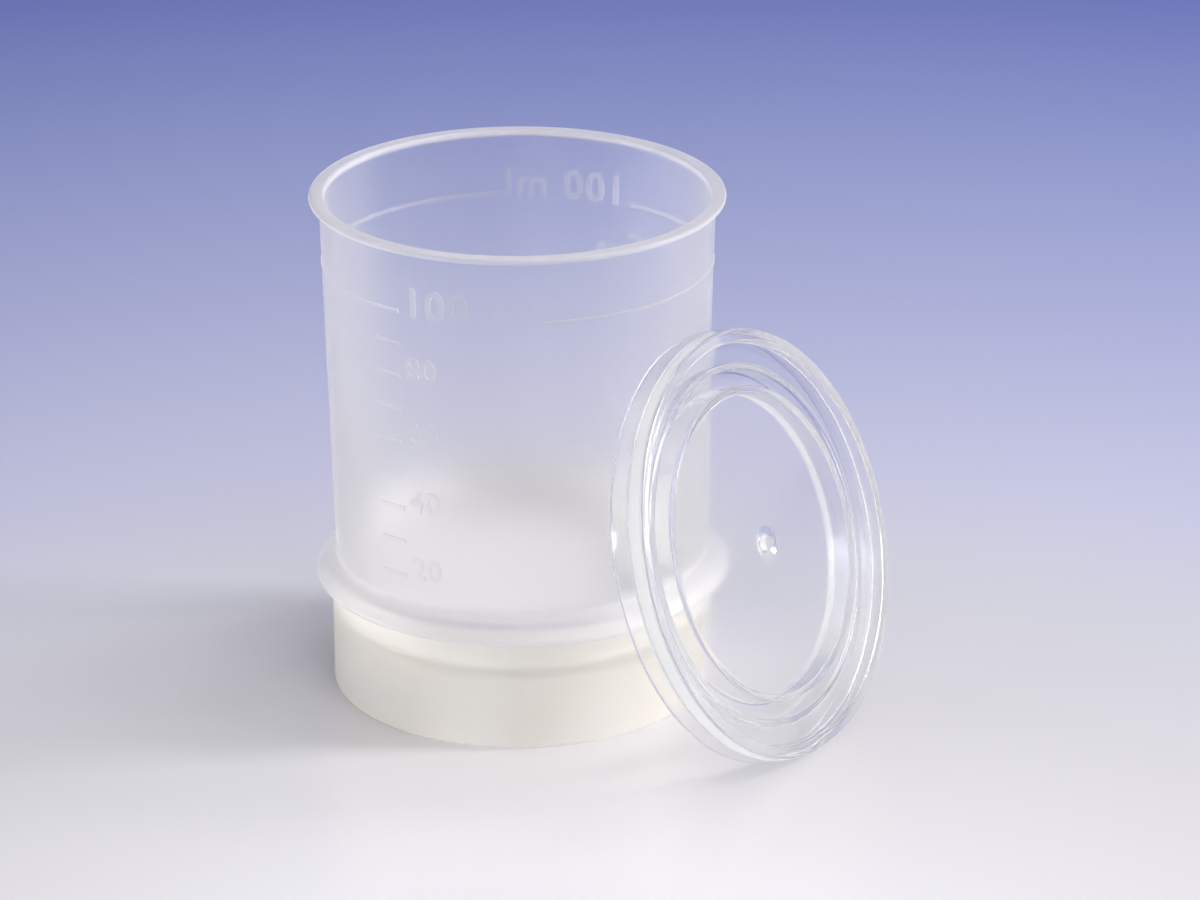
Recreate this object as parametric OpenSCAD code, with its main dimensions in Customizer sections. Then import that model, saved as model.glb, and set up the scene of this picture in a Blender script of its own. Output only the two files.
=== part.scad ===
// Disposable filter funnel unit: a graduated funnel pressed onto a filter base, with its
// membrane and support pad clamped between them and its clear lid leaning on the funnel.
// Millimetres. The origin is on the funnel's axis, in the plane that the base stands on.
// +Z is up and -Y is the front. Profiles are drawn as [radius, height] and turned about Z.

/* [Filter] */
// Diameter of the membrane and of its support pad
membrane_d = 47; // [40:0.5:60]
// Thickness of the membrane
membrane_t = 0.18; // [0.1:0.02:0.4]
// Thickness of the support pad
pad_t = 0.9; // [0.5:0.1:1.6]
// Radial room round the membrane in its seat
seat_clearance = 0.25; // [0.1:0.05:0.6]

/* [Base] */
// Height at which the drain ribs carry the support pad
pad_z = 11.4; // [9:0.1:16]
// Height of the base's top edge above the table
base_h = 17.8; // [16.5:0.1:22]
// Width of the ledge between the membrane's edge and the bore that takes the funnel
ledge_w = 1.5; // [1:0.1:3]
// Wall thickness of the base
base_wall = 1.3; // [0.9:0.1:2]
// Radius of the rounded outer edge that the base stands on
foot_round = 0.7; // [0.3:0.1:0.9]
// How far the seat's bore stands above the membrane
seat_lip = 0.6; // [0.3:0.1:1]

/* [Drain deck] */
// Thickness of the drain deck
deck_t = 1.3; // [1.2:0.1:2]
// Fall of the drain deck from its edge to the outlet
deck_fall = 0.6; // [0.2:0.1:0.8]
// Height of the drain ribs at the deck's edge
rib_h = 0.5; // [0.3:0.1:1]
// Width of each drain rib
rib_w = 0.8; // [0.5:0.1:1.2]
// Number of ring-shaped drain ribs
ring_count = 6; // [3:1:8]
// Number of radial drain channels cut through the rings
channel_count = 12; // [6:1:16]
// Width of each radial drain channel
channel_w = 1.3; // [0.8:0.1:1.6]
// Radius of the open well round the outlet
well_r = 4.2; // [3:0.1:5]

/* [Outlet] */
// Outside diameter of the outlet spigot
spigot_d = 8; // [6.5:0.1:10]
// Bore of the outlet spigot
outlet_d = 4; // [2.5:0.1:5]
// Length of the plain spigot below its root
spigot_l = 6; // [4:0.1:7]
// Height of the chamfer at the spigot's tip
spigot_chamfer = 0.5; // [0.2:0.1:1]
// How far the spigot's root stands out round it
root_step = 1.5; // [0.8:0.1:3]
// Number of stiffening webs under the deck
web_count = 6; // [4:1:8]
// Thickness of each web under the deck
web_t = 1.1; // [0.8:0.1:2]

/* [Funnel] */
// Volume held up to the top mark, in millilitres
capacity_ml = 100; // [60:10:140]
// Height of the funnel above its top mark
freeboard = 9.5; // [6:0.1:15]
// Wall thickness of the funnel
funnel_wall = 0.7; // [0.5:0.05:1.2]
// Draft of the funnel's wall, in degrees
wall_draft = 1.6; // [0.8:0.1:2.5]
// How far the foot of the funnel's wall stands in from the outside of the base
foot_inset = 0.6; // [0.3:0.1:1]
// How far the rim bead stands out from the wall
rim_overhang = 1.4; // [0.9:0.1:2.5]
// Height of the rim bead
rim_h = 0.8; // [0.6:0.1:1.8]
// Depth of the fillet under the rim bead
rim_fillet = 0.5; // [0.2:0.1:0.8]

/* [Collar] */
// How far the collar stands out over the base
collar_overhang = 2.2; // [2:0.1:4]
// Height of the collar's root above the top edge of the base
collar_rise = 2; // [1.2:0.1:3]
// Radius of the fillet between the wall and the collar
collar_fillet = 1; // [0.4:0.1:2]
// Thickness of the collar's rounded lip
collar_lip = 1.2; // [0.8:0.1:1.6]
// Radial room between the collar and the base
collar_clearance = 0.35; // [0.3:0.05:0.6]
// Radial room between the funnel's plug and the base
plug_clearance = 0.3; // [0.3:0.05:0.6]
// Wall thickness of the funnel's plug
plug_wall = 1.2; // [0.9:0.1:1.6]
// Width of the plug's end face, which clamps the membrane's edge
clamp_w = 0.7; // [0.4:0.1:1]
// Room between the plug's end and the bore of the membrane's seat
clamp_clearance = 0.35; // [0.3:0.05:0.6]
// Height of the lead-in cone at the plug's end
lead_h = 2; // [1.5:0.1:3]

/* [Graduations] */
// Volume between two marks, in millilitres
mark_step_ml = 10; // [5:5:20]
// Lowest mark, in millilitres
first_mark_ml = 20; // [20:10:40]
// Height of a raised mark
mark_w = 0.45; // [0.3:0.05:0.8]
// How far a mark stands out from the wall
mark_proud = 0.15; // [0.1:0.05:0.3]
// Angle that a short mark spans
dash_angle = 9; // [5:1:15]
// Angle from the front to the outer end of the short marks
dash_start = 44.5; // [30:0.5:60]
// Angle past the front at which the top ring starts again after its number
number_end = 7; // [0:0.5:20]

/* [Lid] */
// Wall thickness of the lid
lid_wall = 0.8; // [0.6:0.1:1.2]
// Depth of the lid from its raised ring to its open edge
lid_depth = 5.1; // [4:0.1:8]
// Radial room between the lid's skirt and the funnel's rim
lid_clearance = 0.25; // [0.1:0.05:0.5]
// Draft of the lid's skirt, as the change of its radius
skirt_draft = 0.2; // [0:0.05:0.4]
// Width of the raised ring round the lid's face
ring_w = 1.8; // [1.4:0.1:2.5]
// Radius of the raised ring's outer edge
ring_round = 0.6; // [0.2:0.1:1]
// Depth of the flat land inside the raised ring
land_depth = 1.6; // [1:0.1:2]
// Radial room between the lid's channel and the bore of the base
channel_clearance = 0.35; // [0.1:0.05:0.6]
// Width of the channel in the lid's face
lid_channel_w = 2.3; // [1.5:0.1:3.5]
// Depth of the lid's central disc below its raised ring
disc_depth = 0.5; // [0.2:0.1:1]
// Radius of the dimple round the lid's moulding point
gate_r = 2.4; // [1.5:0.1:3.5]
// Depth of that dimple
gate_depth = 0.3; // [0.1:0.05:0.4]
// Radius of the moulding point itself
gate_pip_r = 0.7; // [0.4:0.1:1.2]
// Height of the moulding point above the disc
gate_pip_h = 0.3; // [0.1:0.1:0.6]

/* [Lid placing] */
// Lean of the lid from upright, in degrees
lid_lean = 19.2; // [8:0.1:30]
// Direction from the axis in which the lid stands, from +X towards +Y
lid_side = -36; // [-80:1:0]
// Turn of the lid's face from that direction
lid_turn = 4; // [-6:0.5:6]
// Gap left between the leaning lid and what it leans on
lean_gap = 0.35; // [0.3:0.05:0.6]

/* [Hidden] */
$fn = 96;
sink = 0.3; // how far one shape of a moulding runs into the next
above = 1; // how far a cutting shape runs past what it cuts

// Filter and base
membrane_r = membrane_d / 2;
seat_r = membrane_r + seat_clearance;
bore_r = membrane_r + ledge_w;
base_r = bore_r + base_wall;
clamp_z = pad_z + pad_t + membrane_t;
deck_edge_z = pad_z - rib_h;
deck_mid_z = deck_edge_z - deck_fall;
spigot_r = spigot_d / 2;
outlet_r = outlet_d / 2;
ring_pitch = (seat_r - well_r) / ring_count;

// Funnel
collar_z = base_h + collar_rise;
wall_foot_r = base_r - foot_inset;
plug_r = bore_r - plug_clearance;
plug_in_r = plug_r - plug_wall;
plug_end_r = seat_r - clamp_clearance;
throat_r = plug_end_r - clamp_w;
knee_z = collar_z + 1;
knee_r = wall_r(knee_z) - funnel_wall;
rim_z = mark_z(capacity_ml) + freeboard;
rim_r = wall_r(rim_z - rim_h) + rim_overhang;
mouth_r = wall_r(rim_z - rim_h) - funnel_wall;
collar_r = base_r + collar_overhang;
lip_r = collar_lip / 2;
lip_z = collar_z + wall_foot_r - collar_r + lip_r - lip_r * sqrt(2);
bead_r = rim_h / 2;
front = 270;

// Lid, in its own frame: the raised ring's top is at height 0 and the open edge is below it
skirt_r = rim_r + lid_clearance + lid_wall;
face_r = skirt_r - skirt_draft;
ring_in_r = face_r - ring_w;
trough_r = bore_r - channel_clearance;
groove_out_r = trough_r - lid_wall;
groove_in_r = groove_out_r - lid_channel_w;
groove_z = lid_wall - lid_depth;

// Where the leaning lid stands: on the lowest point of its open edge, with the top of that
// edge against the first thing behind it, which is the wall, the collar or a rim below it
lid_top_z = 2 * skirt_r * cos(lid_lean);
lid_reach = lean_gap + max(concat(
    [edge_reach(wall_r(min(lid_top_z, rim_z - rim_h)), lid_top_z), edge_reach(collar_r, collar_z)],
    lid_top_z > rim_z - rim_h ? [edge_reach(rim_r, rim_z)] : []
));
lid_face = lid_side + lid_turn;
lid_out = skirt_r * sin(lid_lean) + lid_depth * cos(lid_lean);
lid_x = lid_reach * cos(lid_side) + lid_out * cos(lid_face);
lid_y = lid_reach * sin(lid_side) + lid_out * sin(lid_face);
lid_z = skirt_r * cos(lid_lean) + lid_depth * sin(lid_lean);

// Points along an arc, from one angle to another
function arc(x, z, r, from, to, steps = 8) =
    [for (i = [0 : steps]) let (a = from + (to - from) * i / steps) [x + r * cos(a), z + r * sin(a)]];

// How far out the top of the lid's edge leans on a ring of a radius at a height
function edge_reach(r, z) = r - max(0, lid_top_z - z) * tan(lid_lean);

// Outside radius of the funnel's wall at a height
function wall_r(z) = wall_foot_r + (z - collar_z) * tan(wall_draft);

// Volume of a cone's stretch between two radii
function stretch(r0, r1, h) = PI * h * (r0 * r0 + r0 * r1 + r1 * r1) / 3;

// Volume below the knee, where the plug's bore widens to the wall
function knee_ml() = (stretch(throat_r, plug_in_r, base_h - clamp_z)
    + stretch(plug_in_r, knee_r, knee_z - base_h)) / 1000;

// Height of the liquid's surface at a volume above the knee's
function mark_z(ml) = let (slope = tan(wall_draft))
    knee_z + (pow(pow(knee_r, 3) + 3000 * slope * (ml - knee_ml()) / PI, 1 / 3) - knee_r) / slope;

// One drain ring, standing on the sloping deck up to the pad
module drain_ring(r) {
    rotate_extrude()
        translate([r, deck_mid_z - sink])
            square([rib_w, pad_z - deck_mid_z + sink]);
}

// Rings that carry the pad, cut through by the channels that lead to the outlet
module drain_ribs() {
    difference() {
        for (i = [0 : ring_count - 1]) drain_ring(well_r + i * ring_pitch);
        for (i = [0 : channel_count - 1])
            rotate([0, 0, i * 360 / channel_count])
                translate([0, -channel_w / 2, deck_mid_z - sink - above])
                    cube([seat_r, channel_w, pad_z - deck_mid_z + sink + 2 * above]);
    }
}

// Wall, seat, sloping deck and outlet spigot of the base, as one turned shape
module base_shell() {
    rotate_extrude()
        polygon(concat(
            [
                [outlet_r, 0],
                [spigot_r - spigot_chamfer, 0],
                [spigot_r, spigot_chamfer],
                [spigot_r, spigot_l],
                [spigot_r + root_step, spigot_l],
                [spigot_r + root_step, deck_mid_z - deck_t],
                [bore_r, deck_edge_z - deck_t],
                [bore_r, 0],
            ],
            arc(base_r - foot_round, foot_round, foot_round, -90, 0),
            [
                [base_r, base_h],
                [bore_r, base_h],
                [bore_r, clamp_z + seat_lip],
                [seat_r, clamp_z + seat_lip],
                [seat_r, deck_edge_z],
                [outlet_r, deck_mid_z],
            ]
        ));
}

// Webs under the deck, from the spigot's root to the wall
module deck_webs() {
    for (i = [0 : web_count - 1])
        rotate([0, 0, (i + 0.5) * 360 / web_count])
            translate([spigot_r + root_step - sink, -web_t / 2, spigot_l])
                cube([bore_r + sink * 2 - spigot_r - root_step, web_t, deck_mid_z - deck_t + sink - spigot_l]);
}

module base() {
    color([0.93, 0.91, 0.86]) {
        base_shell();
        drain_ribs();
        deck_webs();
    }
}

module support_pad() {
    color([0.97, 0.96, 0.93])
        translate([0, 0, pad_z])
            cylinder(h = pad_t, r = membrane_r);
}

module membrane() {
    color([1, 1, 1])
        translate([0, 0, pad_z + pad_t])
            cylinder(h = membrane_t, r = membrane_r);
}

// Section of the funnel: plug, collar over the base's top edge, tapered wall and rim bead
module funnel_section() {
    polygon(concat(
        [
            [throat_r, clamp_z],
            [plug_end_r, clamp_z],
            [plug_end_r, clamp_z + seat_lip],
            [plug_r, clamp_z + lead_h],
            [plug_r, base_h],
            [base_r + collar_clearance, base_h],
            [base_r + collar_clearance, lip_z + lip_r + sink],
        ],
        arc(collar_r - lip_r, lip_z, lip_r, -135, 45, 12),
        arc(wall_foot_r + collar_fillet, collar_z + collar_fillet * tan(22.5), collar_fillet, 225, 180, 5),
        arc(wall_r(rim_z - rim_h) + rim_fillet, rim_z - rim_h - rim_fillet, rim_fillet, 180, 90, 5),
        arc(rim_r - bead_r, rim_z - bead_r, bead_r, -90, 90, 12),
        arc(mouth_r + bead_r, rim_z - bead_r, bead_r, 90, 180, 6),
        [
            [knee_r, knee_z],
            [plug_in_r, base_h],
        ]
    ));
}

// A raised mark: an arc of a ring on the wall, from one angle over a sweep
module mark(ml, start, sweep) {
    rotate([0, 0, start])
        rotate_extrude(angle = sweep)
            translate([wall_r(mark_z(ml)) - sink, mark_z(ml) - mark_w / 2])
                square([sink + mark_proud, mark_w]);
}

// One scale: the short marks, and the half of the top ring that starts past its number
module scale_marks() {
    for (ml = [first_mark_ml : mark_step_ml : capacity_ml - mark_step_ml])
        mark(ml, front - dash_start, dash_angle);
    mark(capacity_ml, front + number_end, 180 - number_end - dash_start + dash_angle);
}

module funnel() {
    color([0.92, 0.94, 0.97, 0.6]) {
        rotate_extrude() funnel_section();
        scale_marks();
        rotate([0, 0, 180]) scale_marks();
    }
}

// The lid as moulded, face up: raised ring, land, channel and central disc
module lid_body() {
    difference() {
        rotate_extrude()
            polygon(concat([
                [0, -disc_depth - lid_wall],
                [groove_in_r - lid_wall, -disc_depth - lid_wall],
                [groove_in_r - lid_wall, -lid_depth],
                [trough_r, -lid_depth],
                [trough_r, -land_depth - lid_wall],
                [skirt_r - lid_wall, -land_depth - lid_wall],
                [skirt_r - lid_wall, -lid_depth],
                [skirt_r, -lid_depth],
            ], arc(face_r - ring_round, -ring_round, ring_round, 0, 90), [
                [ring_in_r, 0],
                [ring_in_r, -land_depth],
                [groove_out_r, -land_depth],
                [groove_out_r, groove_z],
                [groove_in_r, groove_z],
                [groove_in_r, -disc_depth],
                [0, -disc_depth],
            ]));
        translate([0, 0, -disc_depth - gate_depth])
            cylinder(h = gate_depth + above, r1 = gate_r - gate_depth, r2 = gate_r + above);
    }
    translate([0, 0, -disc_depth - lid_wall])
        cylinder(h = lid_wall + gate_pip_h, r1 = gate_pip_r, r2 = gate_pip_r * 0.7);
}

module lid() {
    color([0.9, 0.93, 0.96, 0.35])
        translate([lid_x, lid_y, lid_z])
            rotate([0, 0, lid_face])
                rotate([0, 90 - lid_lean, 0])
                    lid_body();
}

base();
support_pad();
membrane();
funnel();
lid();
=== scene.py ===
"""Filter funnel unit: the moulded pieces, their finishes, the raised scale and a plain studio stage."""

import math

import bpy
from bpy.props import FloatProperty, FloatVectorProperty, IntProperty, PointerProperty
from bpy.types import Operator, Panel, PropertyGroup
from mathutils import Matrix, Vector


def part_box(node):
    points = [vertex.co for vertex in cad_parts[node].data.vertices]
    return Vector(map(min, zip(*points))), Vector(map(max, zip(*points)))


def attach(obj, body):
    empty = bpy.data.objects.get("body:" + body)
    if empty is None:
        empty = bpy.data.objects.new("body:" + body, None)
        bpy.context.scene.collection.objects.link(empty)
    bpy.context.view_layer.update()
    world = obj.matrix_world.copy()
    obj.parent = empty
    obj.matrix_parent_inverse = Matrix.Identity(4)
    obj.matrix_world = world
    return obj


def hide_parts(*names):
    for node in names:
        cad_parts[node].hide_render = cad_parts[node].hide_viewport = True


bl_info = {
    "name": "Filter Funnel Unit",
    "version": (1, 0, 0),
    "blender": (4, 5, 0),
    "location": "View3D > Sidebar > Funnel Unit",
    "description": "Models a membrane filter funnel unit that stands beside its lid",
    "category": "Object",
}

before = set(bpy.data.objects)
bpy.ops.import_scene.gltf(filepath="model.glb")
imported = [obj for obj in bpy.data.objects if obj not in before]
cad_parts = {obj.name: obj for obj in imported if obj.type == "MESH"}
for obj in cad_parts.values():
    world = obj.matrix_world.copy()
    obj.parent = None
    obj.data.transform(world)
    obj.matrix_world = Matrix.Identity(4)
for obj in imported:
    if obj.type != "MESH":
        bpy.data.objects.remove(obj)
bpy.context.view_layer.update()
BASE_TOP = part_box("base")[1]
PAD_LOW, PAD_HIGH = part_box("support_pad")
MEMBRANE_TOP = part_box("membrane")[1]
FUNNEL_LOW, FUNNEL_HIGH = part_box("funnel")

MM = 0.001
MERGE = 0.0005 * MM
FRONT = math.radians(270)
RIGHT_ANGLE = math.radians(90)
FULL_TURN = 2 * math.pi
# Height of a capital in Blender's own font, as a share of the text's size
CAPITAL = 0.73


# ---------------------------------------------------------------- sizes and colours


def length(name, description, millimetres, low=0.0):
    """A length in metres, from its default in millimetres."""
    return FloatProperty(
        name=name,
        description=description,
        default=millimetres * MM,
        min=low * MM,
        subtype="DISTANCE",
        unit="LENGTH",
        precision=5,
    )


def angle(name, description, degrees):
    """An angle, from its default in degrees."""
    return FloatProperty(
        name=name,
        description=description,
        default=math.radians(degrees),
        subtype="ANGLE",
        unit="ROTATION",
    )


def colour(name, description, red, green, blue):
    """A linear colour."""
    return FloatVectorProperty(
        name=name,
        description=description,
        default=(red, green, blue),
        min=0.0,
        max=1.0,
        size=3,
        subtype="COLOR",
    )


def share(name, description, default):
    """A share from 0 to 1."""
    return FloatProperty(
        name=name, description=description, default=default, min=0.0, max=1.0, subtype="FACTOR"
    )


def count(name, description, default):
    """A whole number of like things."""
    return IntProperty(name=name, description=description, default=default, min=1)


def volume(name, description, millilitres):
    """A volume in millilitres."""
    return IntProperty(name=name, description=description, default=millilitres, min=1)


def power(name, description, watts):
    """The power of a lamp."""
    return FloatProperty(
        name=name, description=f"Power of {description}, in watts", default=watts, min=0.0
    )


class BaseSettings(PropertyGroup):
    """Sizes and colour of the filter base."""

    wall: length("Wall", "Wall thickness of the base", 1.3)
    foot_round: length("Foot rounding", "Radius of the rounded edge that the base stands on", 0.7)
    seat_clearance: length("Seat room", "Radial room round the membrane in its seat", 0.25)
    seat_lip: length("Seat lip", "How far the seat's bore stands above the membrane", 0.6)
    deck: length("Deck", "Thickness of the drain deck", 1.3)
    deck_fall: length("Deck fall", "Fall of the deck from its edge to the outlet", 0.6)
    rib_height: length("Rib height", "Height of the drain ribs at the deck's edge", 0.5)
    rib_width: length("Rib width", "Width of each drain rib", 0.8)
    well: length("Well", "Radius of the open well round the outlet", 4.2)
    ring_count: count("Rings", "Number of ring-shaped drain ribs", 6)
    channel_count: count("Channels", "Number of radial drain channels", 12)
    channel_width: length("Channel width", "Width of each radial drain channel", 1.3)
    spigot: length("Spigot radius", "Outside radius of the outlet spigot", 4.0)
    outlet: length("Outlet radius", "Radius of the outlet's bore", 2.0)
    spigot_length: length("Spigot length", "Length of the plain spigot below its root", 6.0)
    root_step: length("Spigot root", "How far the spigot's root stands out round it", 1.5)
    web_count: count("Webs", "Number of stiffening webs under the deck", 6)
    web: length("Web thickness", "Thickness of each web", 1.1)
    chamfer: length("Spigot chamfer", "Chamfer at the spigot's tip", 0.5)
    tint: colour("Colour", "Colour of the base's plastic", 0.93, 0.918, 0.90)
    milk: share("Milkiness", "Milkiness of one surface of the base", 0.7)


class DiscSettings(PropertyGroup):
    """Colours of the discs that lie in the base."""

    pad: colour("Pad", "Colour of the support pad's paper", 0.88, 0.86, 0.8)
    membrane: colour("Membrane", "Colour of the membrane", 0.955, 0.925, 0.955)


class FunnelSettings(PropertyGroup):
    """Sizes and colour of the funnel."""

    wall: length("Wall", "Wall thickness of the funnel", 0.7)
    draft: angle("Draft", "Draft of the funnel's wall", 1.6)
    foot_inset: length("Foot inset", "How far the wall's foot stands in from the base", 0.6)
    rim_height: length("Rim height", "Height of the rim bead", 0.8)
    rim_overhang: length("Rim overhang", "How far the rim bead stands out from the wall", 1.4)
    rim_fillet: length("Rim fillet", "Radius of the fillet under the rim bead", 0.5)
    collar_rise: length("Collar rise", "Height of the collar's root above the base", 2.0)
    collar_fillet: length("Collar fillet", "Radius between the wall and the collar", 1.0)
    knee: length("Knee", "Height above the collar's root at which the drafted bore starts", 1.0)
    collar_lip: length("Collar lip", "Thickness of the collar's rounded lip", 1.2)
    collar_clearance: length("Collar room", "Radial room between collar and base", 0.35)
    plug_clearance: length("Plug room", "Radial room between plug and base", 0.3)
    plug_wall: length("Plug wall", "Wall thickness of the plug", 1.2)
    clamp_width: length("Clamp width", "Width of the plug's end face", 0.7)
    clamp_clearance: length("Clamp room", "Room between the plug's end and the seat", 0.35)
    lead: length("Lead", "Height of the lead-in cone at the plug's end", 2.0)
    tint: colour("Colour", "Colour of the funnel's plastic", 0.93, 0.912, 0.93)
    haze: share("Haze", "Milkiness of one surface of the wall, seen square on", 0.03)
    # Whitening of the wall seen edge on: partly real milkiness, partly a painted reflection band near
    # both edges.
    edge_haze: share("Edge haze", "Added milkiness where the wall is seen edge on", 0.14)
    thick_haze: share("Thick haze", "Added milkiness of the rim bead and the collar", 0.42)
    blur: share("Blur", "How far the wall blurs what is behind it", 0.3)


class ScaleSettings(PropertyGroup):
    """Sizes of the raised scale on the funnel's wall."""

    capacity: volume("Top mark", "Volume at the top mark, in millilitres", 100)
    step: volume("Step", "Volume between two marks, in millilitres", 10)
    lowest: volume("Lowest mark", "Volume at the lowest mark, in millilitres", 20)
    line: length("Line height", "Height of a raised mark", 0.55)
    proud: length("Proud", "How far a mark stands out from the wall", 0.12)
    sunk: length("Sunk", "How far a mark reaches into the wall", 0.1)
    dash: angle("Mark sweep", "Angle that a short mark spans", 9.0)
    dash_start: angle("Mark start", "Angle from the front to the outer end of the short marks", -44.5)
    number_start: angle("Number start", "Angle from the front to the start of the numbers", -33.5)
    number_end: angle("Number end", "Angle past the front where the top line starts again", 7.0)
    number_height: length("Number height", "Height of the numbers at the short marks", 3.2)
    top_number_height: length("Top number height", "Height of the number at the top mark", 4.3)
    top_number_drop: length("Top number drop", "How far the top number starts below its mark", 0.4)
    bold: length("Bold", "How far the strokes of the numbers are widened", 0.1)
    # The marks' added haze is a painted highlight: whiter marks in place of the light their edges catch.
    haze: share("Haze", "Milkiness that the raised marks add to the wall's", 0.13)


class LidSettings(PropertyGroup):
    """Sizes and colour of the lid, and how it leans."""

    wall: length("Wall", "Wall thickness of the lid", 0.8)
    depth: length("Depth", "Depth of the lid from its raised ring to its open edge", 5.1)
    clearance: length("Rim room", "Radial room between the skirt and the funnel's rim", 0.25)
    skirt_draft: length("Skirt draft", "Change of the skirt's radius over its depth", 0.2)
    ring: length("Ring width", "Width of the raised ring round the face", 1.8)
    ring_round: length("Ring rounding", "Radius of the raised ring's outer edge", 0.6)
    land_depth: length("Land depth", "Depth of the flat land inside the ring", 1.6)
    channel_clearance: length("Channel room", "Radial room between the channel and the base's bore", 0.35)
    channel: length("Channel width", "Width of the channel in the face", 2.3)
    disc_depth: length("Disc depth", "Depth of the central disc below the ring", 0.5)
    gate: length("Gate dimple", "Radius of the dimple round the moulding point", 2.4)
    gate_depth: length("Gate depth", "Depth of that dimple", 0.45)
    pip: length("Gate pip", "Radius of the moulding point", 0.9)
    pip_height: length("Pip height", "Height of the moulding point above the disc", 0.5)
    corner: length("Corner", "Rounding of the moulding's inner and outer corners", 0.34)
    lean: angle("Lean", "Lean of the lid from upright", 19.2)
    side: angle("Side", "Direction from the axis in which the lid stands", -36.0)
    turn: angle("Turn", "Turn of the lid's face from that direction", 4.0)
    gap: length("Gap", "Gap left between the lid and the wall it leans on", 0.35)
    tint: colour("Colour", "Colour of the lid's clear plastic", 0.965, 0.965, 0.97)
    haze: share("Haze", "Milkiness of one surface of the lid, seen square on", 0.01)
    # On the lid this edge haze is a painted sheen: whiteness in place of highlights caught by its edges
    # and corners.
    edge_haze: share("Edge haze", "Added milkiness where the lid is seen edge on", 0.1)
    # Painted glow: white scatter on faces seen from inside the lid, in place of light that internal
    # reflection carries through the moulding.
    trapped_haze: share("Trapped haze", "Milkiness met by light on its way inside the lid", 0.42)


class StageSettings(PropertyGroup):
    """Floor, lamps and camera."""

    floor_radius: length("Floor", "Radius of the floor", 4000)
    floor_fade: length("Floor fade", "Distance over which the floor turns from white to blue", 480)
    side: power("Side lamp", "the low lamp on the right", 13.6)
    top: power("Top lamp", "the lamp overhead", 3.2)
    left: power("Left panel", "the panel on the left", 4.2)
    high: power("High lamp", "the high lamp in front", 3.6)
    front: power("Front panel", "the low panel in front", 4.0)
    sky: share("Sky", "Strength of the light from all round", 0.365)
    horizon: colour("Horizon", "Colour of the far floor and of the room", 0.15, 0.18, 0.46)
    eye: FloatVectorProperty(
        name="Camera place",
        description="Place of the camera",
        default=(0.011278, -0.647193, 0.291809),
        size=3,
        subtype="XYZ",
        unit="LENGTH",
        precision=5,
    )
    tilt: angle("Camera tilt", "Angle of the camera from straight down", 68.254)
    focal: FloatProperty(
        name="Focal length",
        description="Focal length of the camera",
        default=150.0,
        subtype="DISTANCE_CAMERA",
    )


class UnitSettings(PropertyGroup):
    """All the settings of the funnel unit."""

    base: PointerProperty(type=BaseSettings)
    discs: PointerProperty(type=DiscSettings)
    funnel: PointerProperty(type=FunnelSettings)
    scale: PointerProperty(type=ScaleSettings)
    lid: PointerProperty(type=LidSettings)
    stage: PointerProperty(type=StageSettings)


# ---------------------------------------------------------------- modelling by hand


def arc(x, z, radius, start, end, steps=6):
    """Points along an arc, from one angle in degrees to another."""
    turn = (end - start) / steps
    angles = [math.radians(start + turn * i) for i in range(steps + 1)]
    return [(x + radius * math.cos(a), z + radius * math.sin(a)) for a in angles]


def rounded(corners, steps=4):
    """A closed section with its corners (x, z, radius) turned into arcs."""
    path = []
    for i, (x, z, radius) in enumerate(corners):
        here = Vector((x, z))
        if radius == 0:
            path.append((x, z))
            continue
        back = (Vector(corners[i - 1][:2]) - here).normalized()
        ahead = (Vector(corners[(i + 1) % len(corners)][:2]) - here).normalized()
        half = back.angle(ahead) / 2
        centre = here + (back + ahead).normalized() * radius / math.sin(half)
        first = here + back * radius / math.tan(half) - centre
        last = here + ahead * radius / math.tan(half) - centre
        start = math.degrees(math.atan2(first.y, first.x))
        sweep = math.degrees(math.atan2(last.y, last.x)) - start
        sweep = (sweep + 180) % 360 - 180
        path += arc(centre.x, centre.y, radius, start, start + sweep, steps)
    return path


def edit(piece, select=True):
    """Open a piece in edit mode with all of it selected, or none of it."""
    bpy.ops.object.select_all(action="DESELECT")
    piece.select_set(True)
    bpy.context.view_layer.objects.active = piece
    bpy.ops.object.mode_set(mode="EDIT")
    bpy.ops.mesh.select_all(action="SELECT" if select else "DESELECT")


def leave():
    """Back to object mode."""
    bpy.ops.object.mode_set(mode="OBJECT")


def draw_section(name, path):
    """Draw a closed section [radius, height] by extruding one point along it."""
    bpy.ops.object.select_all(action="DESELECT")
    bpy.ops.mesh.primitive_plane_add(size=2 * MM, location=(0, 0, 0))
    piece = bpy.context.object
    piece.name = name
    piece.data.name = name
    edit(piece)
    bpy.ops.mesh.merge(type="CENTER")
    at = (0.0, 0.0)
    for i, (x, z) in enumerate(path + path[:1]):
        step = (x - at[0], 0, z - at[1])
        if i == 0:
            bpy.ops.transform.translate(value=step)
        else:
            bpy.ops.mesh.extrude_vertices_move(TRANSFORM_OT_translate={"value": step})
        at = (x, z)
    bpy.ops.mesh.select_all(action="SELECT")
    bpy.ops.mesh.remove_doubles(threshold=MERGE)
    leave()
    return piece


def spin(piece, sweep, steps):
    """Spin a piece's section about Z into a closed solid."""
    edit(piece)
    bpy.ops.mesh.spin(steps=steps, angle=-sweep, center=(0, 0, 0), axis=(0, 0, 1))
    bpy.ops.mesh.select_all(action="SELECT")
    bpy.ops.mesh.remove_doubles(threshold=MERGE)
    bpy.ops.mesh.fill_holes(sides=0)
    bpy.ops.mesh.normals_make_consistent(inside=False)
    leave()
    return piece


def lathe(name, path, sweep=FULL_TURN, steps=192):
    """A solid turned about Z from a closed section."""
    return spin(draw_section(name, path), sweep, steps)


def turn_mesh(piece, turn):
    """Turn a piece about Z, in its mesh."""
    edit(piece)
    bpy.ops.transform.rotate(value=-turn, orient_axis="Z", center_override=(0, 0, 0))
    leave()


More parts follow.
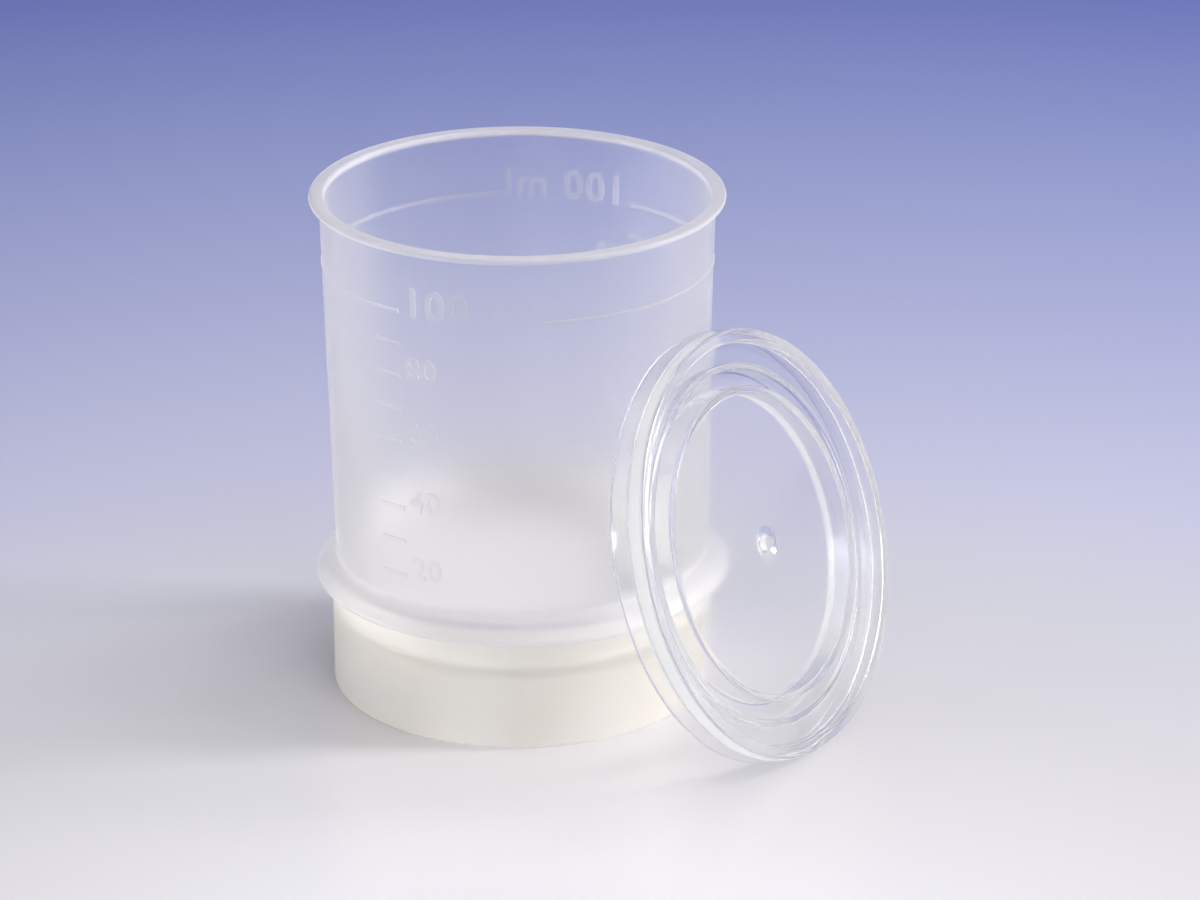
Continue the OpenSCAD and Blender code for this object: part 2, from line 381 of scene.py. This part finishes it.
def place_mesh(piece, matrix):
    """Move a piece by a matrix, and keep its place in its mesh."""
    piece.matrix_world = matrix
    bpy.ops.object.select_all(action="DESELECT")
    piece.select_set(True)
    bpy.context.view_layer.objects.active = piece
    bpy.ops.object.transform_apply(location=True, rotation=True, scale=True)


def copy_piece(piece):
    """A copy of a piece with its own mesh."""
    twin = piece.copy()
    twin.data = piece.data.copy()
    bpy.context.collection.objects.link(twin)
    return twin


def join(name, pieces):
    """Join pieces into the first of them."""
    bpy.ops.object.select_all(action="DESELECT")
    for piece in pieces:
        piece.select_set(True)
    bpy.context.view_layer.objects.active = pieces[0]
    if len(pieces) > 1:
        bpy.ops.object.join()
    pieces[0].name = name
    pieces[0].data.name = name
    return pieces[0]


def combine(piece, tool, operation):
    """Unite a piece with a tool, or cut the tool out of it, and remove the tool."""
    modifier = piece.modifiers.new("combine", "BOOLEAN")
    modifier.operation = operation
    modifier.solver = "EXACT"
    modifier.object = tool
    bpy.ops.object.select_all(action="DESELECT")
    piece.select_set(True)
    bpy.context.view_layer.objects.active = piece
    bpy.ops.object.modifier_apply(modifier=modifier.name)
    bpy.data.objects.remove(tool)
    return piece


def box(name, low, high):
    """A block between two corners."""
    bpy.ops.object.select_all(action="DESELECT")
    centre = [(a + b) / 2 for a, b in zip(low, high)]
    bpy.ops.mesh.primitive_cube_add(size=1, location=centre)
    piece = bpy.context.object
    piece.name = name
    piece.scale = [b - a for a, b in zip(low, high)]
    bpy.ops.object.transform_apply(location=True, rotation=True, scale=True)
    return piece


def smooth(piece, degrees=35):
    """Smooth shading, with the edges sharper than an angle kept."""
    bpy.ops.object.select_all(action="DESELECT")
    piece.select_set(True)
    bpy.context.view_layer.objects.active = piece
    bpy.ops.object.shade_smooth_by_angle(angle=math.radians(degrees))


def finish_piece(piece, material, body):
    """Give a piece its material and its body."""
    piece.data.materials.clear()
    piece.data.materials.append(material)
    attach(piece, body)


# ---------------------------------------------------------------- shapes shared by the pieces


def base_radius():
    """Outside radius of the base."""
    return BASE_TOP.x


def bore_radius(s):
    """Radius of the bore that takes the funnel's plug."""
    return base_radius() - s.base.wall


def seat_radius(s):
    """Radius of the membrane's seat."""
    return PAD_HIGH.x + s.base.seat_clearance


def collar_height(s):
    """Height of the collar's root."""
    return BASE_TOP.z + s.funnel.collar_rise


def knee_height(s):
    """Height at which the bore takes on the wall's draft."""
    return collar_height(s) + s.funnel.knee


def foot_radius(s):
    """Outside radius of the wall at the collar."""
    return base_radius() - s.funnel.foot_inset


def wall_radius(s, z):
    """Outside radius of the funnel's wall at a height."""
    return foot_radius(s) + (z - collar_height(s)) * math.tan(s.funnel.draft)


def rim_radius(s):
    """Outside radius of the rim bead."""
    return wall_radius(s, FUNNEL_HIGH.z - s.funnel.rim_height) + s.funnel.rim_overhang


def stretch(low, high, height):
    """Volume of a cone's stretch between two radii."""
    return math.pi * height * (low * low + low * high + high * high) / 3


def mark_height(s, millilitres):
    """Height of the liquid's surface at a volume."""
    f = s.funnel
    plug_in = bore_radius(s) - f.plug_clearance - f.plug_wall
    throat = seat_radius(s) - f.clamp_clearance - f.clamp_width
    knee_z = knee_height(s)
    knee = wall_radius(s, knee_z) - f.wall
    below = stretch(throat, plug_in, BASE_TOP.z - MEMBRANE_TOP.z)
    below += stretch(plug_in, knee, knee_z - BASE_TOP.z)
    slope = math.tan(f.draft)
    volume = millilitres * MM**2 - below
    return knee_z + ((knee**3 + 3 * slope * volume / math.pi) ** (1 / 3) - knee) / slope


# ---------------------------------------------------------------- materials


class Nodes:
    """The nodes of a material or a world under construction."""

    def __init__(self, owner):
        owner.use_nodes = True
        self.tree = owner.node_tree
        self.tree.nodes.clear()

    def node(self, kind, **values):
        """A node with attributes and socket values set."""
        made = self.tree.nodes.new(kind)
        for key, value in values.items():
            if hasattr(made, key):
                setattr(made, key, value)
            else:
                self.put(made.inputs[key.replace("_", " ")], value)
        return made

    def put(self, socket, value):
        """Link an output to a socket, or set the socket's value."""
        if isinstance(value, bpy.types.NodeSocket):
            self.tree.links.new(value, socket)
        elif socket.type == "RGBA" and len(value) == 3:
            socket.default_value = (*value, 1.0)
        else:
            socket.default_value = value

    def maths(self, operation, first, second=0.0, clamp=False):
        """A maths node's output."""
        made = self.node("ShaderNodeMath", operation=operation, use_clamp=clamp)
        self.put(made.inputs[0], first)
        self.put(made.inputs[1], second)
        return made.outputs[0]

    def axes(self, vector):
        """The x, y and z of a vector."""
        return self.node("ShaderNodeSeparateXYZ", Vector=vector).outputs

    def ramp(self, value, low, high, out_low=0.0, out_high=1.0, kind="SMOOTHSTEP"):
        """A value's range mapped onto another range."""
        made = self.node("ShaderNodeMapRange", interpolation_type=kind)
        for socket, number in zip(made.inputs[:5], (value, low, high, out_low, out_high)):
            self.put(socket, number)
        return made.outputs[0]

    def mixed(self, fac, first, second):
        """Two shaders mixed."""
        made = self.node("ShaderNodeMixShader")
        for socket, value in zip(made.inputs, (fac, first, second)):
            self.put(socket, value)
        return made.outputs[0]

    def blend(self, fac, first, second):
        """Two colours mixed."""
        made = self.node("ShaderNodeMix", data_type="RGBA")
        self.put(made.inputs["Factor"], fac)
        self.put(made.inputs[6], first)
        self.put(made.inputs[7], second)
        return made.outputs[2]


class Finish(Nodes):
    """A node material under construction."""

    def __init__(self, name):
        self.material = bpy.data.materials.new(name)
        super().__init__(self.material)
        self.place = self.node("ShaderNodeTexCoord").outputs["Object"]

    def facing(self):
        """From 0 where the surface is seen square on to 1 where it is seen edge on."""
        return self.node("ShaderNodeLayerWeight", Blend=0.5).outputs["Facing"]

    def stretched(self, along_z):
        """Object coordinates scaled along Z."""
        return self.node("ShaderNodeMapping", Vector=self.place, Scale=(1, 1, along_z)).outputs[0]

    def noise(self, vector, scale, detail, roughness=0.5):
        """A noise pattern from 0 to 1."""
        made = self.node(
            "ShaderNodeTexNoise", Vector=vector, Scale=scale, Detail=detail, Roughness=roughness
        )
        return made.outputs["Fac"]

    def plastic(self, tint, roughness, refraction, skin, clear=False):
        """A solid or a clear plastic surface."""
        made = self.node(
            "ShaderNodeBsdfPrincipled", Base_Color=tint, Roughness=roughness, IOR=refraction, Normal=skin
        )
        made.inputs["Transmission Weight"].default_value = 1.0 if clear else 0.0
        return made.outputs[0]

    def milk(self, surface, tint):
        """Half a surface's light let through and scattered."""
        through = self.node("ShaderNodeBsdfTranslucent", Color=tint)
        return self.mixed(0.5, surface, through.outputs[0])

    def bump(self, height, distance, strength=1.0):
        """A bump from a height pattern."""
        return self.node("ShaderNodeBump", Strength=strength, Distance=distance, Height=height).outputs[0]

    def lit_through(self, surface, tint, soft=True):
        """Let light cross the surface, dimmed, where it reaches or leaves a matt one."""
        path = self.node("ShaderNodeLightPath")
        plain = path.outputs["Is Shadow Ray"]
        if soft:
            plain = self.maths("MAXIMUM", plain, path.outputs["Is Diffuse Ray"])
        edge_on = tuple(0.35 * c for c in tint)
        shade = self.blend(self.ramp(self.facing(), 0.55, 1.0), tint, edge_on)
        clear = self.node("ShaderNodeBsdfTransparent", Color=shade).outputs[0]
        return self.mixed(plain, surface, clear)

    def done(self, surface):
        """Link the finished shader to the output."""
        out = self.node("ShaderNodeOutputMaterial")
        self.put(out.inputs["Surface"], surface)
        return self.material


def base_plastic(s):
    """Warm off-white moulded plastic that lets light through."""
    m = Finish("base_plastic")
    cloud = m.noise(m.place, 60, 2)
    grain = m.noise(m.place, 2600, 2)
    red, green, blue = s.base.tint
    warm = (0.99 * red, 0.98 * green, 0.955 * blue)
    skin = m.bump(grain, 0.02 * MM, 0.35)
    shade = m.blend(m.ramp(cloud, 0.35, 0.65), (red, green, blue), warm)
    solid = m.plastic(shade, m.ramp(grain, 0.3, 0.7, 0.3, 0.42, "LINEAR"), 1.49, skin)
    clear = m.plastic((0.97, 0.965, 0.95), 0.35, 1.3, skin, clear=True)
    body = m.mixed(s.base.milk, clear, m.milk(solid, shade))
    return m.done(m.lit_through(body, (0.76, 0.755, 0.75), soft=False))


def paper(name, tint, fibre, depth, rough):
    """Paper or membrane of fine matted fibres."""
    m = Finish(name)
    mat = m.noise(m.place, fibre, 5, 0.65)
    cloud = m.noise(m.place, 140, 2)
    tangle = m.maths("ADD", mat, m.maths("MULTIPLY", cloud, 0.3))
    dark = tuple(0.93 * c for c in tint)
    body = m.node(
        "ShaderNodeBsdfPrincipled",
        Base_Color=m.blend(m.ramp(tangle, 0.45, 0.8), dark, tint),
        Roughness=rough,
        Normal=m.bump(mat, depth, 0.6),
    )
    return m.done(body.outputs[0])


def milky_plastic(s, name, extra=0.0):
    """Thin milky plastic that blurs what is behind it, whiter where it is thick, and whiter edge on:
    partly real milkiness, partly painted reflection.
    """
    m = Finish(name)
    f = s.funnel
    z = m.axes(m.place)[2]
    rim_z, root_z = FUNNEL_HIGH.z - f.rim_height, collar_height(s)
    rim = m.ramp(z, rim_z - 0.4 * MM, rim_z + 0.1 * MM)
    foot = m.ramp(z, root_z + 1.2 * MM, root_z - 0.4 * MM)
    facing = m.facing()
    foot = m.maths("MULTIPLY", foot, m.ramp(facing, 0.35, 0.8, 1.0, 0.25))
    thick = m.maths("MULTIPLY", m.maths("MAXIMUM", rim, foot), f.thick_haze)
    # Whiter edge on: partly real milkiness, partly painted reflection.
    haze = m.maths("ADD", m.ramp(facing, 0.25, 0.48, 0.0, f.edge_haze), thick)
    haze = m.maths("ADD", haze, f.haze + extra)
    streaks = m.ramp(m.noise(m.stretched(0.06), 300, 2), 0.3, 0.7, 0.92, 1.08, "LINEAR")
    cloud = m.ramp(m.noise(m.stretched(0.5), 45, 1), 0.3, 0.7, -0.06, 0.06, "LINEAR")
    haze = m.maths("MULTIPLY", haze, m.maths("ADD", streaks, cloud), clamp=True)
    skin = m.bump(m.noise(m.place, 700, 1), 0.006 * MM, 0.2)
    tint = tuple(f.tint)
    solid = m.plastic(tint, 0.4, 1.49, skin)
    clear = m.plastic((0.985, 0.988, 0.995), f.blur, 1.3, skin, clear=True)
    body = m.mixed(haze, clear, m.milk(solid, tint))
    return m.done(m.lit_through(body, (0.93, 0.93, 0.935)))


def clear_plastic(s):
    """Clear rigid plastic, with a painted sheen where it is seen edge on and a painted glow on its inner
    faces.
    """
    m = Finish("lid_plastic")
    d = s.lid
    flow = m.noise(m.place, 160, 3, 0.6)
    rough = m.ramp(m.noise(m.place, 3000, 2), 0.4, 0.7, 0.08, 0.12, "LINEAR")
    clear = m.plastic(tuple(d.tint), rough, 1.45, m.bump(flow, 0.01 * MM, 0.4), clear=True)
    facing = m.facing()
    inside = m.node("ShaderNodeNewGeometry").outputs["Backfacing"]
    # Painted glow on faces seen from inside the lid, in place of light carried by internal reflection.
    trapped = m.maths("MULTIPLY", inside, m.ramp(facing, 0.2, 0.5, 0.0, d.trapped_haze))
    # Painted sheen: whiter where the lid is seen edge on.
    edge = m.maths("MULTIPLY", m.maths("POWER", facing, 2.0), d.edge_haze)
    # The lid's haze is mostly the painted glow and sheen above, with a little real haze.
    haze = m.maths("ADD", m.maths("ADD", trapped, edge), d.haze, clamp=True)
    white = (0.93, 0.93, 0.93)
    milk = m.milk(m.node("ShaderNodeBsdfDiffuse", Color=white).outputs[0], white)
    return m.done(m.lit_through(m.mixed(haze, clear, milk), (0.96, 0.962, 0.965)))


# ---------------------------------------------------------------- pieces


class FUNNELUNIT_OT_base(Operator):
    """Model the filter base: wall, membrane seat, ribbed deck, webs and outlet spigot"""

    bl_idname = "funnel_unit.base"
    bl_label = "Filter Base"

    def execute(self, context):
        s = context.scene.funnel_unit
        b = s.base
        base_r, base_h, bore, seat = base_radius(), BASE_TOP.z, bore_radius(s), seat_radius(s)
        pad_z, clamp_z = PAD_LOW.z, MEMBRANE_TOP.z
        deck_edge = pad_z - b.rib_height
        deck_mid = deck_edge - b.deck_fall
        section = rounded(
            [
                (b.outlet, 0, 0.2 * MM),
                (b.spigot - b.chamfer, 0, 0.2 * MM),
                (b.spigot, b.chamfer, 0.2 * MM),
                (b.spigot, b.spigot_length, 0.3 * MM),
                (b.spigot + b.root_step, b.spigot_length, 0.3 * MM),
                (b.spigot + b.root_step, deck_mid - b.deck, 0.3 * MM),
                (bore, deck_edge - b.deck, 0.5 * MM),
                (bore, 0, 0.15 * MM),
                (base_r, 0, b.foot_round),
                (base_r, base_h, 0.3 * MM),
                (bore, base_h, 0.25 * MM),
                (bore, clamp_z + b.seat_lip, 0.1 * MM),
                (seat, clamp_z + b.seat_lip, 0.15 * MM),
                (seat, deck_edge, 0.2 * MM),
                (b.outlet, deck_mid, 0.4 * MM),
            ]
        )
        piece = lathe("filter_base", section)
        pitch = (seat - b.well) / b.ring_count
        sink = 0.3 * MM
        rings = []
        for i in range(b.ring_count):
            near = b.well + i * pitch
            far = near + b.rib_width
            low = deck_mid - sink
            ring = [(near, low, 0), (far, low, 0), (far, pad_z, 0.12 * MM), (near, pad_z, 0.12 * MM)]
            rings.append(lathe("drain_ring", rounded(ring, 2), steps=144))
        ribs = join("drain_ribs", rings)
        across = b.channel_width / 2
        for i in range(b.channel_count // 2):
            bar = box("channel", (-seat, -across, deck_mid - 3 * MM), (seat, across, pad_z + 1 * MM))
            turn_mesh(bar, FULL_TURN * i / b.channel_count)
            combine(ribs, bar, "DIFFERENCE")
        webs = []
        for i in range(b.web_count):
            web = box(
                "web",
                (b.spigot + b.root_step - sink, -b.web / 2, b.spigot_length),
                (bore + sink, b.web / 2, deck_mid - b.deck + sink),
            )
            turn_mesh(web, FULL_TURN * (i + 0.5) / b.web_count)
            webs.append(web)
        combine(piece, ribs, "UNION")
        combine(piece, join("webs", webs), "UNION")
        smooth(piece)
        finish_piece(piece, base_plastic(s), "filter_base")
        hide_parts("base")
        return {"FINISHED"}


class FUNNELUNIT_OT_discs(Operator):
    """Finish the support pad and the membrane that lie in the base"""

    bl_idname = "funnel_unit.discs"
    bl_label = "Pad and Membrane"

    def execute(self, context):
        discs = context.scene.funnel_unit.discs
        finishes = {
            "support_pad": paper("pad_paper", tuple(discs.pad), 900, 0.05 * MM, 0.95),
            "membrane": paper("membrane_white", tuple(discs.membrane), 3200, 0.008 * MM, 0.7),
        }
        for node, material in finishes.items():
            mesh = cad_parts[node].data
            mesh.materials.clear()
            mesh.materials.append(material)
        return {"FINISHED"}


class FUNNELUNIT_OT_funnel(Operator):
    """Model the funnel: plug, collar over the base, tapered wall and rim bead"""

    bl_idname = "funnel_unit.funnel"
    bl_label = "Funnel"

    def execute(self, context):
        s = context.scene.funnel_unit
        f = s.funnel
        base_h, clamp_z = BASE_TOP.z, MEMBRANE_TOP.z
        plug = bore_radius(s) - f.plug_clearance
        plug_in = plug - f.plug_wall
        plug_end = seat_radius(s) - f.clamp_clearance
        throat = plug_end - f.clamp_width
        collar_z, foot = collar_height(s), foot_radius(s)
        collar_r = FUNNEL_HIGH.x
        inner = base_radius() + f.collar_clearance
        lip = f.collar_lip / 2
        lip_z = collar_z + foot - collar_r + lip - lip * math.sqrt(2)
        rim_z, bead = FUNNEL_HIGH.z, f.rim_height / 2
        neck = wall_radius(s, rim_z - f.rim_height)
        mouth = neck - f.wall
        knee_z = knee_height(s)
        knee = wall_radius(s, knee_z) - f.wall
        clamp = [
            (throat, clamp_z, 0.2 * MM),
            (plug_end, clamp_z, 0.15 * MM),
            (plug_end, clamp_z + s.base.seat_lip, 0),
        ]
        fillet_z = collar_z + f.collar_fillet * math.tan(RIGHT_ANGLE / 4)
        section = (
            rounded(clamp)
            + [(plug, clamp_z + f.lead), (plug, base_h)]
            + [(inner, base_h), (inner, lip_z + lip + 0.3 * MM)]
            + arc(collar_r - lip, lip_z, lip, -135, 45, 12)
            + arc(foot + f.collar_fillet, fillet_z, f.collar_fillet, 225, 180)
            + arc(neck + f.rim_fillet, rim_z - f.rim_height - f.rim_fillet, f.rim_fillet, 180, 90)
            + arc(rim_radius(s) - bead, rim_z - bead, bead, -90, 90, 12)
            + arc(mouth + bead, rim_z - bead, bead, 90, 180, 8)
            + [(knee, knee_z), (plug_in, base_h)]
        )
        piece = lathe("funnel_wall", section, steps=240)
        smooth(piece)
        finish_piece(piece, milky_plastic(s, "funnel_plastic"), "funnel_body")
        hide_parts("funnel")
        return {"FINISHED"}


class FUNNELUNIT_OT_scale(Operator):
    """Raise the two scales on the funnel's wall: short marks, top line and numbers"""

    bl_idname = "funnel_unit.scale"
    bl_label = "Scale"

    def execute(self, context):
        s = context.scene.funnel_unit
        g = s.scale
        marks = []
        for millilitres in range(g.lowest, g.capacity, g.step):
            marks.append(self.mark(s, millilitres, g.dash_start, g.dash))
        top_sweep = math.pi - g.number_end + g.dash_start + g.dash
        marks.append(self.mark(s, g.capacity, g.number_end, top_sweep))
        for millilitres in range(2 * g.step, g.capacity, 2 * g.step):
            marks.append(self.number(s, str(millilitres), mark_height(s, millilitres), g.number_height))
        top_z = mark_height(s, g.capacity) - g.top_number_drop
        marks.append(self.number(s, f"{g.capacity} ml", top_z, g.top_number_height))
        front = join("funnel_scale", marks)
        rear = copy_piece(front)
        turn_mesh(rear, math.pi)
        piece = join("funnel_scale", [front, rear])
        smooth(piece, 30)
        # Painted highlight: extra haze on the marks in place of the light their edges catch.
        finish_piece(piece, milky_plastic(s, "raised_marks", g.haze), "funnel_body")
        return {"FINISHED"}

    def mark(self, s, millilitres, start, sweep):
        """A raised line at a volume, from an angle past the front over a sweep."""
        g = s.scale
        z = mark_height(s, millilitres)
        wall = wall_radius(s, z)
        low, high = z - g.line / 2, z + g.line / 2
        near, far = wall - g.sunk, wall + g.proud
        line = [(near, low, 0), (far, low, 0.08 * MM), (far, high, 0.08 * MM), (near, high, 0)]
        piece = lathe("mark", rounded(line, 2), sweep, max(4, round(math.degrees(sweep) / 2)))
        turn_mesh(piece, FRONT + start)
        return piece

    def number(self, s, words, foot_z, height):
        """A raised number, laid round the wall beside its mark."""
        g = s.scale
        bpy.ops.object.select_all(action="DESELECT")
        bpy.ops.object.text_add(location=(0, 0, 0))
        piece = bpy.context.object
        text = piece.data
        text.body = words
        text.size = height / CAPITAL
        text.space_character = 1.12
        text.extrude = (g.proud + g.sunk) / 2
        text.offset = g.bold
        text.resolution_u = 6
        bpy.ops.object.convert(target="MESH")
        piece = bpy.context.object
        middle = (g.proud - g.sunk) / 2
        for vertex in piece.data.vertices:
            x, y, out = vertex.co
            z = foot_z + y
            turn = FRONT + g.number_start + x / wall_radius(s, foot_z)
            radius = wall_radius(s, z) + middle + out
            vertex.co = (radius * math.cos(turn), radius * math.sin(turn), z)
        edit(piece)
        bpy.ops.mesh.remove_doubles(threshold=0.002 * MM)
        bpy.ops.mesh.normals_make_consistent(inside=False)
        leave()
        return piece


class FUNNELUNIT_OT_lid(Operator):
    """Model the clear lid: raised ring, land, channel, disc with its moulding point, and skirt"""

    bl_idname = "funnel_unit.lid"
    bl_label = "Lid"

    def execute(self, context):
        s = context.scene.funnel_unit
        d = s.lid
        skirt = rim_radius(s) + d.clearance + d.wall
        face = skirt - d.skirt_draft
        ring_in = face - d.ring
        trough = bore_radius(s) - d.channel_clearance
        groove_out = trough - d.wall
        groove_in = groove_out - d.channel
        groove_z = d.wall - d.depth
        disc, land, deep = -d.disc_depth, -d.land_depth, -d.depth
        c = d.corner
        dimple = disc - d.gate_depth
        section = rounded(
            [
                (0, disc - d.wall, 0),
                (groove_in - d.wall, disc - d.wall, c),
                (groove_in - d.wall, deep, c),
                (trough, deep, c),
                (trough, land - d.wall, c),
                (skirt - d.wall, land - d.wall, c),
                (skirt - d.wall, deep, c),
                (skirt, deep, c),
                (face, 0, d.ring_round),
                (ring_in, 0, c),
                (ring_in, land, c),
                (groove_out, land, c),
                (groove_out, groove_z, c),
                (groove_in, groove_z, c),
                (groove_in, disc, c),
                (d.gate, disc, 1.0 * MM),
                (d.pip + 0.3 * MM, dimple, 0.25 * MM),
                (d.pip, disc + d.pip_height, 0.2 * MM),
                (0, disc + d.pip_height, 0),
            ],
            5,
        )
        piece = lathe("clear_lid", section, steps=240)
        top = 2 * skirt * math.cos(d.lean)
        reach = wall_radius(s, top) + d.gap
        facing = d.side + d.turn
        out = skirt * math.sin(d.lean) + d.depth * math.cos(d.lean)
        at = Vector(
            (
                reach * math.cos(d.side) + out * math.cos(facing),
                reach * math.sin(d.side) + out * math.sin(facing),
                skirt * math.cos(d.lean) + d.depth * math.sin(d.lean),
            )
        )
        lean = Matrix.Rotation(RIGHT_ANGLE - d.lean, 4, "Y")
        place_mesh(piece, Matrix.Translation(at) @ Matrix.Rotation(facing, 4, "Z") @ lean)
        smooth(piece)
        finish_piece(piece, clear_plastic(s), "filter_base")
        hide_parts("lid")
        return {"FINISHED"}


# ---------------------------------------------------------------- stage

WARM = (1.0, 0.99, 0.97)
WHITE = (1.0, 1.0, 1.0)
# The point in the part that every lamp faces
LAMP_AIM = (0.01, -0.005, 0.03)
# Moves the middle of the floor's fade in front of the part
FLOOR_SHIFT = (-0.008, 0.12, 0)
# Colours of the floor outwards, each at a share of the fade
FLOOR_TONES = (
    (0.0, (0.9, 0.88, 0.92)),
    (0.12, (0.89, 0.87, 0.91)),
    (0.17, (0.82, 0.8, 0.83)),
    (0.25, (0.73, 0.71, 0.74)),
    (0.34, (0.66, 0.66, 0.73)),
    (0.42, (0.59, 0.59, 0.76)),
    (0.59, (0.43, 0.45, 0.69)),
    (0.8, (0.27, 0.31, 0.59)),
    (1.0, (0.14, 0.17, 0.48)),
)


class FUNNELUNIT_OT_stage(Operator):
    """Lay the floor, hang the lamps and set the camera"""

    bl_idname = "funnel_unit.stage"
    bl_label = "Stage"

    def execute(self, context):
        stage = context.scene.funnel_unit.stage
        self.floor(stage)
        self.room(stage)
        self.lamp("side_lamp", (1.24, 0.0, 0.6), 0.28, stage.side, WARM)
        self.lamp("top_lamp", (0.44, 0.3, 1.28), 0.4, stage.top, WHITE)
        self.lamp("left_panel", (-1.24, -0.2, 0.12), 0.28, stage.left, WARM)
        self.lamp("high_lamp", (0.4, -0.84, 0.92), 0.6, stage.high, WHITE)
        self.lamp("front_panel", (-0.24, -1.36, 0.28), 0.6, stage.front, WARM)
        self.camera(stage)
        context.scene.view_settings.view_transform = "Standard"
        return {"FINISHED"}

    def floor(self, stage):
        """A round floor, white near the part and pale blue further off."""
        bpy.ops.object.select_all(action="DESELECT")
        bpy.ops.mesh.primitive_circle_add(
            vertices=96, radius=stage.floor_radius, fill_type="NGON", location=(0, 0, 0)
        )
        floor = bpy.context.object
        floor.name = "floor"
        m = Finish("studio_floor")
        shift = m.node("ShaderNodeMapping", Vector=m.place, Location=FLOOR_SHIFT)
        reach = m.node("ShaderNodeVectorMath", operation="LENGTH", Vector=shift.outputs[0])
        away = m.maths("DIVIDE", reach.outputs["Value"], stage.floor_fade)
        ramp = m.node("ShaderNodeValToRGB", Fac=away)
        elements = ramp.color_ramp.elements
        (_, near), *between, (_, far) = FLOOR_TONES
        elements[0].color, elements[1].color = (*near, 1), (*far, 1)
        for position, tone in between:
            elements.new(position).color = (*tone, 1)
        body = m.node("ShaderNodeBsdfPrincipled", Base_Color=ramp.outputs[0], Roughness=0.25)
        body.inputs["Specular IOR Level"].default_value = 0.25
        floor.data.materials.append(m.done(body.outputs[0]))

    def room(self, stage):
        """Even light from all round, and the room that glossy and clear surfaces show."""
        world = bpy.data.worlds.new("studio_room")
        bpy.context.scene.world = world
        m = Nodes(world)
        path = m.node("ShaderNodeLightPath").outputs
        crossing = path["Is Transmission Ray"]
        seen = m.maths("MAXIMUM", path["Is Camera Ray"], path["Is Glossy Ray"])
        seen = m.maths("MAXIMUM", seen, crossing)
        seen = m.maths("MULTIPLY", seen, m.maths("LESS_THAN", path["Diffuse Depth"], 0.5))
        strength = m.ramp(crossing, 0, 1, stage.sky, 0.5 * stage.sky, "LINEAR")
        light = m.node("ShaderNodeBackground", Color=(0.97, 0.98, 1.0), Strength=strength)
        x, y, z = m.axes(m.node("ShaderNodeTexCoord").outputs["Generated"])
        backdrop = m.blend(m.ramp(z, 0.42, 0.75), tuple(stage.horizon), (0.9, 0.92, 0.97))
        walls = m.blend(crossing, (0.5, 0.5, 0.52), (0.18, 0.18, 0.19))
        around = m.blend(m.ramp(y, 0.3, 0.8), walls, backdrop)
        sides = m.maths("ADD", m.ramp(x, -0.4, -0.8), m.ramp(x, 0.5, 0.9, 0.0, 0.3))
        panels = m.blend(m.maths("MULTIPLY", sides, crossing), around, (3.0, 3.0, 2.95))
        view = m.node("ShaderNodeBackground", Color=panels)
        m.node("ShaderNodeOutputWorld", Surface=m.mixed(seen, light.outputs[0], view.outputs[0]))

    def lamp(self, name, place, size, watts, tint):
        """A square soft lamp that points at the part."""
        data = bpy.data.lights.new(name, "AREA")
        data.shape = "SQUARE"
        data.size = size
        data.energy = watts
        data.color = tint
        lamp = bpy.data.objects.new(name, data)
        lamp.visible_camera = False
        lamp.visible_transmission = False
        bpy.context.scene.collection.objects.link(lamp)
        lamp.location = place
        aim = Vector(LAMP_AIM) - lamp.location
        lamp.rotation_euler = aim.to_track_quat("-Z", "Y").to_euler()

    def camera(self, stage):
        """A long lens, level from side to side, looking down on the part."""
        data = bpy.data.cameras.new("camera")
        data.sensor_width = 36.0
        data.lens = stage.focal
        data.clip_start = 0.01
        camera = bpy.data.objects.new("camera", data)
        bpy.context.scene.collection.objects.link(camera)
        camera.location = stage.eye
        camera.rotation_euler = (stage.tilt, 0, 0)
        bpy.context.scene.camera = camera


# ---------------------------------------------------------------- add-on


class FUNNELUNIT_PT_panel(Panel):
    """Settings and steps of the funnel unit"""

    bl_idname = "FUNNELUNIT_PT_panel"
    bl_label = "Funnel Unit"
    bl_space_type = "VIEW_3D"
    bl_region_type = "UI"
    bl_category = "Funnel Unit"

    def draw(self, context):
        settings = context.scene.funnel_unit
        for operator in PIECE_OPERATORS:
            self.layout.operator(operator.bl_idname)
        for group in ("base", "discs", "funnel", "scale", "lid", "stage"):
            sub = self.layout.box()
            sub.label(text=group.title())
            members = getattr(settings, group)
            for key in members.bl_rna.properties.keys():
                if key not in {"rna_type", "name"}:
                    sub.prop(members, key)


PIECE_OPERATORS = (
    FUNNELUNIT_OT_base,
    FUNNELUNIT_OT_discs,
    FUNNELUNIT_OT_funnel,
    FUNNELUNIT_OT_scale,
    FUNNELUNIT_OT_lid,
    FUNNELUNIT_OT_stage,
)
CLASSES = (
    BaseSettings,
    DiscSettings,
    FunnelSettings,
    ScaleSettings,
    LidSettings,
    StageSettings,
    UnitSettings,
    *PIECE_OPERATORS,
    FUNNELUNIT_PT_panel,
)


def register():
    for cls in CLASSES:
        bpy.utils.register_class(cls)
    bpy.types.Scene.funnel_unit = PointerProperty(type=UnitSettings)


def unregister():
    del bpy.types.Scene.funnel_unit
    for cls in reversed(CLASSES):
        bpy.utils.unregister_class(cls)


def main():
    register()
    bpy.ops.funnel_unit.base()
    bpy.ops.funnel_unit.discs()
    bpy.ops.funnel_unit.funnel()
    bpy.ops.funnel_unit.scale()
    bpy.ops.funnel_unit.lid()
    bpy.ops.funnel_unit.stage()


if __name__ == "__main__":
    main()
